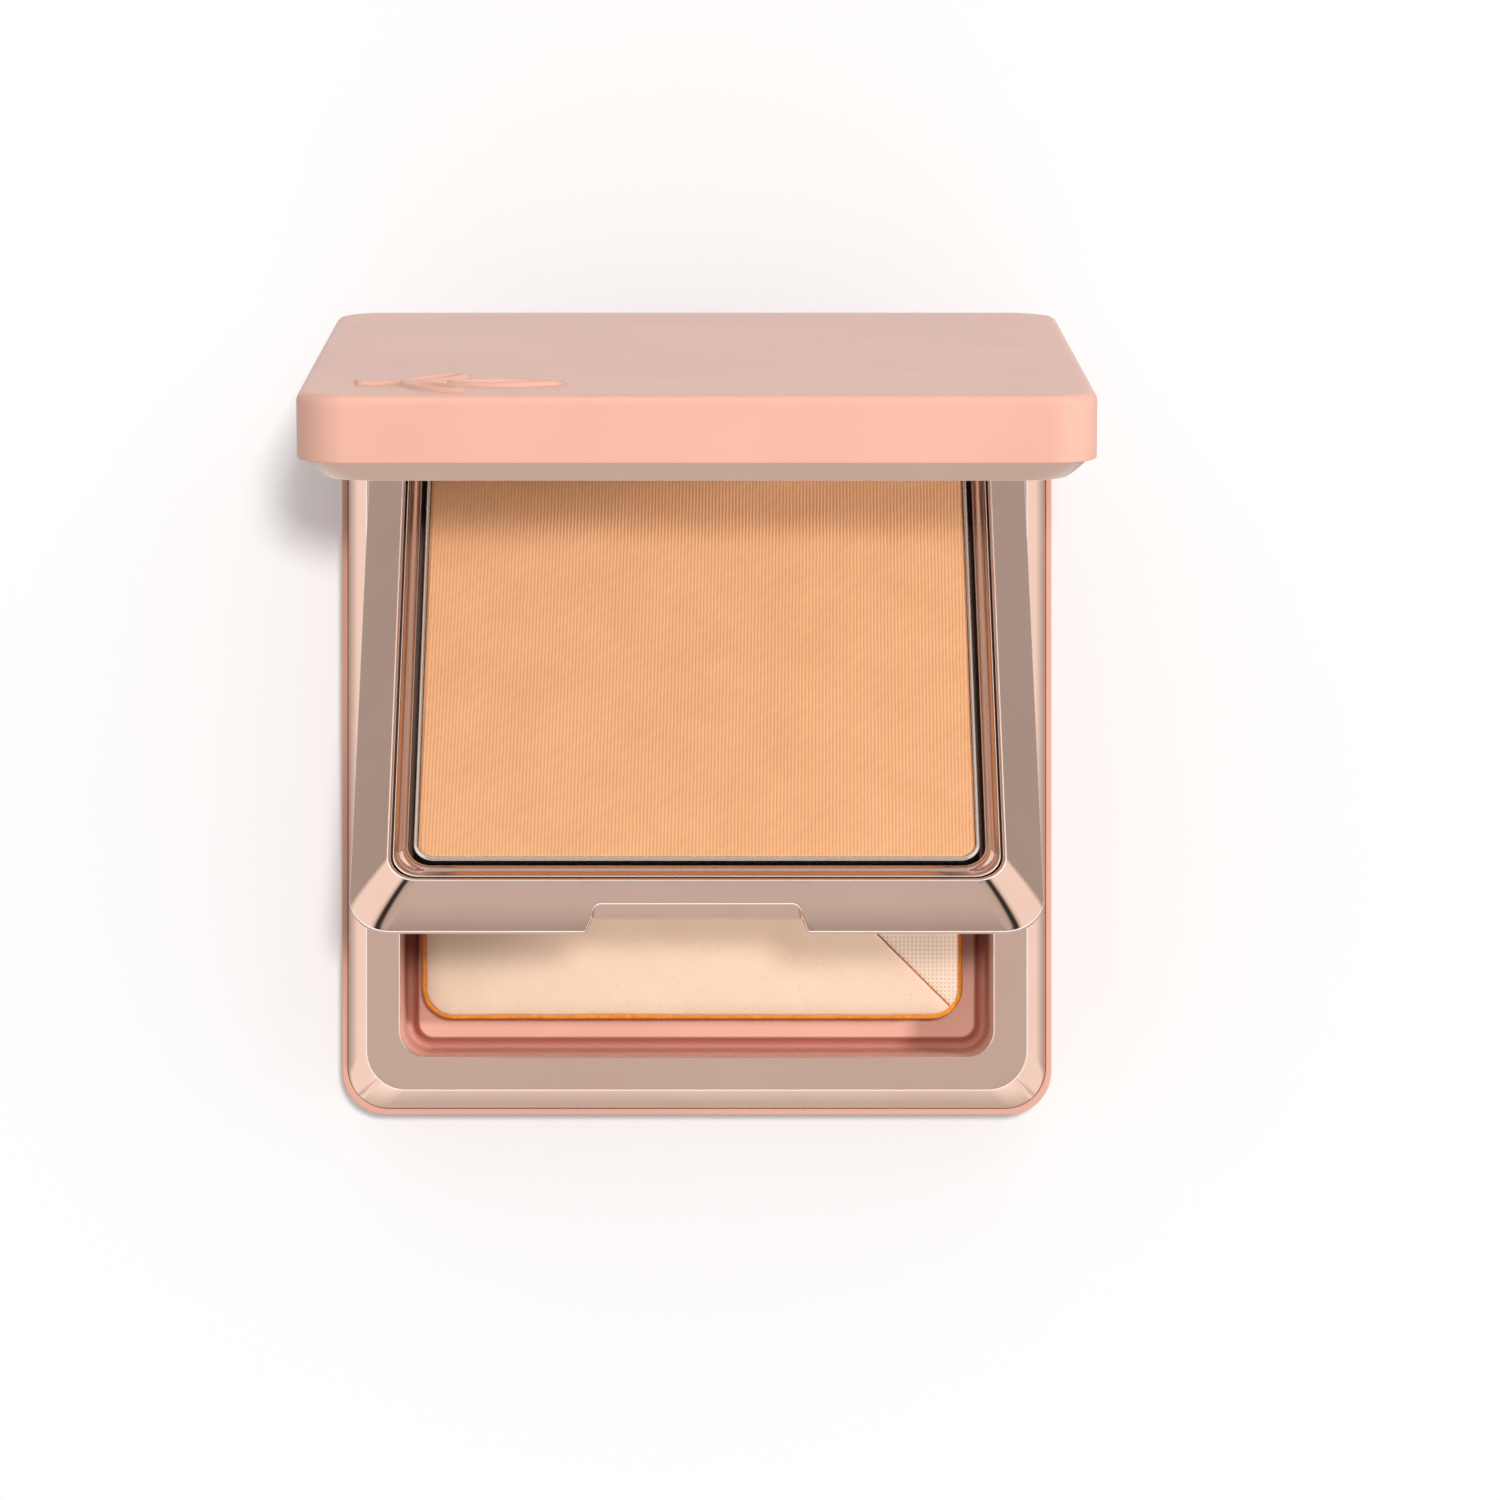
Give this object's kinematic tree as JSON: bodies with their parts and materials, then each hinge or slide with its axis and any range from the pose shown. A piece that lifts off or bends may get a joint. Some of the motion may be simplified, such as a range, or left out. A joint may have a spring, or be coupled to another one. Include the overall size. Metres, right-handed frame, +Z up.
{
  "type": "powder compact",
  "caption": "Square powder compact: shallow base with a sponge well, lift-up powder tray and mirror lid turning on one rear hinge line.",
  "frame": {"origin": "centre of the base's bottom face", "axes": "+Z up, -Y is the front edge that opens, +Y the hinge side, +X to the user's right"},
  "size_m": [0.072, 0.081, 0.0844],
  "materials": {
    "pink_shell": "satin lacquered plastic",
    "rose_metal": "plastic with a satin rose-gold metallised coat",
    "well_plastic": "moulded, satin",
    "tub_plastic": "moulded, satin",
    "sponge": "dense latex foam, orange at the cut edge",
    "sponge_skin": "smooth fine flock",
    "gauze": "fine open weave",
    "pan_metal": "stamped thin sheet",
    "powder": "pressed powder with a fine woven press mark",
    "adhesive": "soft adhesive",
    "mirror": "silvered behind",
    "steel": "plain"
  },
  "bodies": {
    "base": {"base_shell": "pink_shell", "base_frame": "rose_metal", "sponge_well": "well_plastic", "base_magnets": "steel", "hinge_pins": "steel", "sponge_foam": "sponge", "sponge_facing": "sponge_skin", "sponge_pocket": "gauze"},
    "tray": {"tray_frame": "rose_metal", "tray_tub": "tub_plastic", "pan_ring": "rose_metal", "powder_pan": "pan_metal", "pan_glue": "adhesive", "powder_cake": "powder"},
    "lid": {"lid_shell": "pink_shell", "lid_frame": "rose_metal", "mirror": "mirror", "mirror_tape": "adhesive", "lid_keepers": "steel"}
  },
  "joints": [
    {"name": "tray_hinge", "type": "hinge", "parent": "base", "child": "tray", "pos_m": [0, 0.0375, 0.0108], "axis": [-1, 0, 0], "range_deg": [-40, 20]},
    {"name": "lid_hinge", "type": "hinge", "parent": "tray", "child": "lid", "pos_m": [0, 0.0375, 0.0108], "axis": [-1, 0, 0], "range_deg": [-40, 80]}
  ]
}
